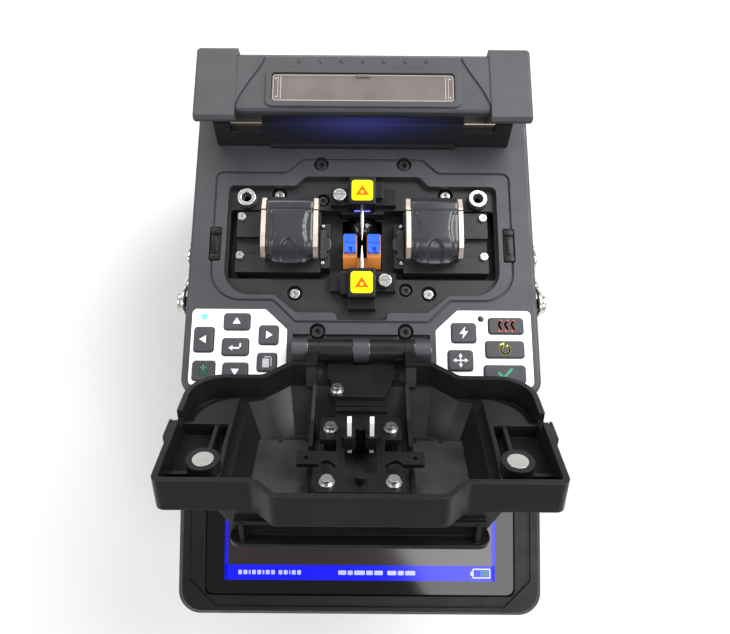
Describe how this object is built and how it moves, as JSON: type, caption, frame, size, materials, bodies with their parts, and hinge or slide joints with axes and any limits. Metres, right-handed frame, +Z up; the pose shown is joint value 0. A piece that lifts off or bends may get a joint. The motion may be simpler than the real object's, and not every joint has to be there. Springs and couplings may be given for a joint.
{
  "type": "fiber fusion splicer",
  "caption": "Bench fusion splicer with hinged wind cover, fold-down screen, sliding fibre clamps, electrodes, keypad, sleeve heater and carrying strap.",
  "frame": {"origin": "mouth of the tripod thread, in the middle of the lower case's underside", "axes": "+X to the operator's right, +Y from the operator towards the sleeve heater, +Z up"},
  "size_m": [0.161, 0.2379, 0.177],
  "materials": {
    "casing": "fine moulded texture, satin",
    "cap_rubber": "soft-touch overmould",
    "cover_black": "satin moulded black",
    "stage_black": "satin black coating on a casting",
    "panel_white": "glossy white overlay",
    "key_grey": "matt silicone",
    "screw_steel": "bright turned steel",
    "strip_steel": "ground steel",
    "nickel": "nickel plate",
    "chrome": "plated wire",
    "post_metal": "black coating",
    "trough_metal": "anodised, warm",
    "frame_aluminium": "machined",
    "motor_metal": "plated can",
    "brass_insert": "machined",
    "foot_rubber": "matt",
    "strap_webbing": "woven webbing",
    "screen_glass": "black cover glass over the display",
    "window_clear": "clear polycarbonate",
    "battery_case": "moulded",
    "board_green": "solder mask",
    "vgroove_amber": "amber engineering plastic",
    "platform_blue": "blue ceramic-filled",
    "lens_black": "black lens barrel",
    "needle_tungsten": "tungsten"
  },
  "bodies": {
    "base": {"top_cover": "casing", "lower_case": "casing", "tripod_insert": "brass_insert", "rubber_feet": "foot_rubber", "stage_pan": "stage_black", "keeper_rings": "nickel", "chassis_frame": "frame_aluminium", "battery_pack": "battery_case", "main_board": "board_green", "keypad_panels": "panel_white", "deck_screws": "post_metal", "pan_screws": "screw_steel", "hinge_pins": "screw_steel", "electrode_blocks": "cover_black", "electrodes": "needle_tungsten", "vgroove_block": "vgroove_amber", "fibre_platforms": "platform_blue", "camera_modules": "lens_black", "feed_motors": "motor_metal", "heater_housing": "casing", "heater_trough": "trough_metal", "heater_clamps": "trough_metal", "strap_posts": "post_metal"},
    "wind_cover": {"wind_cover": "cover_black", "cover_bracket": "cover_black", "cover_magnets": "nickel", "cover_screws": "screw_steel"},
    "left_presser": {"left_presser": "strip_steel"},
    "right_presser": {"right_presser": "strip_steel"},
    "heater_lid": {"heater_lid": "casing", "heater_window": "window_clear", "heater_end_caps": "cap_rubber"},
    "monitor": {"monitor_frame": "casing", "monitor_glass": "screen_glass"},
    "carry_strap": {"carry_strap": "strap_webbing", "snap_hooks": "chrome"},
    "rear_electrode_screw": {"rear_electrode_screw": "screw_steel"},
    "front_electrode_screw": {"front_electrode_screw": "screw_steel"},
    "left_carriage": {"left_carriage": "stage_black", "left_carriage_hardware": "screw_steel", "left_feed_plunger": "screw_steel"},
    "left_clamp": {"left_clamp_lid": "cover_black", "left_clamp_strips": "strip_steel"},
    "right_carriage": {"right_carriage": "stage_black", "right_carriage_hardware": "screw_steel", "right_feed_plunger": "screw_steel"},
    "right_clamp": {"right_clamp_lid": "cover_black", "right_clamp_strips": "strip_steel"},
    "left_arrow_key": {"left_arrow_key": "key_grey"},
    "power_key": {"power_key": "key_grey"},
    "up_arrow_key": {"up_arrow_key": "key_grey"},
    "enter_key": {"enter_key": "key_grey"},
    "down_arrow_key": {"down_arrow_key": "key_grey"},
    "right_arrow_key": {"right_arrow_key": "key_grey"},
    "menu_key": {"menu_key": "key_grey"},
    "arc_key": {"arc_key": "key_grey"},
    "axis_key": {"axis_key": "key_grey"},
    "heat_key": {"heat_key": "key_grey"},
    "reset_key": {"reset_key": "key_grey"},
    "set_key": {"set_key": "key_grey"}
  },
  "joints": [
    {"name": "wind_cover_hinge", "type": "hinge", "parent": "base", "child": "wind_cover", "pos_m": [0, -0.052, 0.11], "axis": [1, 0, 0], "range_deg": [-133, 0]},
    {"name": "heater_lid_hinge", "type": "hinge", "parent": "base", "child": "heater_lid", "pos_m": [0, 0.069, 0.119], "axis": [-1, 0, 0], "range_deg": [0, 95]},
    {"name": "monitor_hinge", "type": "hinge", "parent": "base", "child": "monitor", "pos_m": [0, -0.075, 0.0901], "axis": [1, 0, 0], "range_deg": [0, 79]},
    {"name": "strap_swing", "type": "hinge", "parent": "base", "child": "carry_strap", "pos_m": [0, -0.026, 0.087], "axis": [1, 0, 0], "range_deg": [0, 118]},
    {"name": "rear_electrode_turn", "type": "hinge", "parent": "base", "child": "rear_electrode_screw", "pos_m": [-0.0096, 0.0152, 0.109], "axis": [0, 0, 1], "range_deg": [0, 1080]},
    {"name": "front_electrode_turn", "type": "hinge", "parent": "base", "child": "front_electrode_screw", "pos_m": [0.0096, -0.0226, 0.109], "axis": [0, 0, 1], "range_deg": [0, 1080]},
    {"name": "left_feed", "type": "slide", "parent": "base", "child": "left_carriage", "axis": [1, 0, 0], "range_m": [0, 0.004]},
    {"name": "left_clamp_hinge", "type": "hinge", "parent": "left_carriage", "child": "left_clamp", "pos_m": [-0.03, 0.0097, 0.112], "axis": [-1, 0, 0], "range_deg": [0, 95]},
    {"name": "left_presser_slide", "type": "slide", "parent": "wind_cover", "child": "left_presser", "axis": [0, -0.7314, -0.682], "range_m": [0, 0.0015], "stiffness_N_per_m": 300, "springref_m": -0.001},
    {"name": "right_feed", "type": "slide", "parent": "base", "child": "right_carriage", "axis": [-1, 0, 0], "range_m": [0, 0.004]},
    {"name": "right_clamp_hinge", "type": "hinge", "parent": "right_carriage", "child": "right_clamp", "pos_m": [0.03, 0.0097, 0.112], "axis": [-1, 0, 0], "range_deg": [0, 95]},
    {"name": "right_presser_slide", "type": "slide", "parent": "wind_cover", "child": "right_presser", "axis": [0, -0.7314, -0.682], "range_m": [0, 0.0015], "stiffness_N_per_m": 300, "springref_m": -0.001},
    {"name": "left_arrow_press", "type": "slide", "parent": "base", "child": "left_arrow_key", "axis": [0, 0, -1], "range_m": [0, 0.0008], "stiffness_N_per_m": 1200, "springref_m": -0.0006},
    {"name": "power_press", "type": "slide", "parent": "base", "child": "power_key", "axis": [0, 0, -1], "range_m": [0, 0.0008], "stiffness_N_per_m": 1200, "springref_m": -0.0006},
    {"name": "up_arrow_press", "type": "slide", "parent": "base", "child": "up_arrow_key", "axis": [0, 0, -1], "range_m": [0, 0.0008], "stiffness_N_per_m": 1200, "springref_m": -0.0006},
    {"name": "enter_press", "type": "slide", "parent": "base", "child": "enter_key", "axis": [0, 0, -1], "range_m": [0, 0.0008], "stiffness_N_per_m": 1200, "springref_m": -0.0006},
    {"name": "down_arrow_press", "type": "slide", "parent": "base", "child": "down_arrow_key", "axis": [0, 0, -1], "range_m": [0, 0.0008], "stiffness_N_per_m": 1200, "springref_m": -0.0006},
    {"name": "right_arrow_press", "type": "slide", "parent": "base", "child": "right_arrow_key", "axis": [0, 0, -1], "range_m": [0, 0.0008], "stiffness_N_per_m": 1200, "springref_m": -0.0006},
    {"name": "menu_press", "type": "slide", "parent": "base", "child": "menu_key", "axis": [0, 0, -1], "range_m": [0, 0.0008], "stiffness_N_per_m": 1200, "springref_m": -0.0006},
    {"name": "arc_press", "type": "slide", "parent": "base", "child": "arc_key", "axis": [0, 0, -1], "range_m": [0, 0.0008], "stiffness_N_per_m": 1200, "springref_m": -0.0006},
    {"name": "axis_press", "type": "slide", "parent": "base", "child": "axis_key", "axis": [0, 0, -1], "range_m": [0, 0.0008], "stiffness_N_per_m": 1200, "springref_m": -0.0006},
    {"name": "heat_press", "type": "slide", "parent": "base", "child": "heat_key", "axis": [0, 0, -1], "range_m": [0, 0.0008], "stiffness_N_per_m": 1200, "springref_m": -0.0006},
    {"name": "reset_press", "type": "slide", "parent": "base", "child": "reset_key", "axis": [0, 0, -1], "range_m": [0, 0.0008], "stiffness_N_per_m": 1200, "springref_m": -0.0006},
    {"name": "set_press", "type": "slide", "parent": "base", "child": "set_key", "axis": [0, 0, -1], "range_m": [0, 0.0008], "stiffness_N_per_m": 1200, "springref_m": -0.0006}
  ]
}
